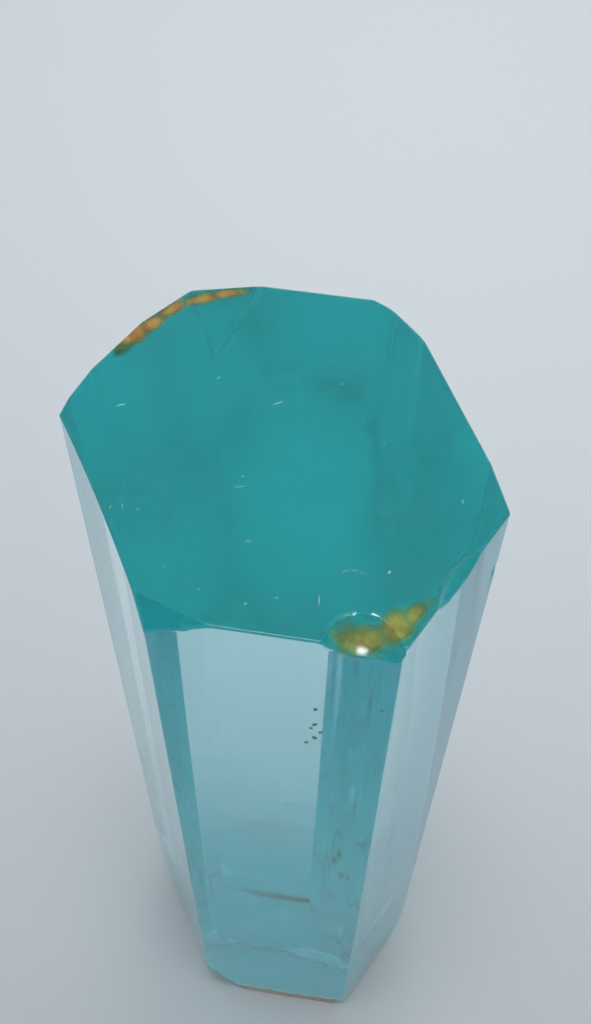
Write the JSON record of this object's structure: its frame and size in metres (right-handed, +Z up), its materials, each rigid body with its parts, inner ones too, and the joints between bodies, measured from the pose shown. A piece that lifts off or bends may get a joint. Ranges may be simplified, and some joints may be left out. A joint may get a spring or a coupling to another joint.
{
  "type": "aquamarine crystal",
  "caption": "Tall clear blue-green six-sided beryl prism with a flat top, a chipped rim, iron-stained patches and a flat broken foot that it stands on.",
  "frame": {"origin": "middle of the crystal in plan, on the plane of the broken foot that it stands on", "axes": "+Z up along the prism, towards the flat top; the front prism face looks along -Y"},
  "size_m": [0.0312, 0.0296, 0.113],
  "materials": {
    "aquamarine": "clear natural crystal faces with fine growth lines, a glossy pinacoid top, and iron stains on the rim and the broken foot"
  },
  "bodies": {
    "root": {"aquamarine_crystal": "aquamarine"}
  },
  "joints": []
}
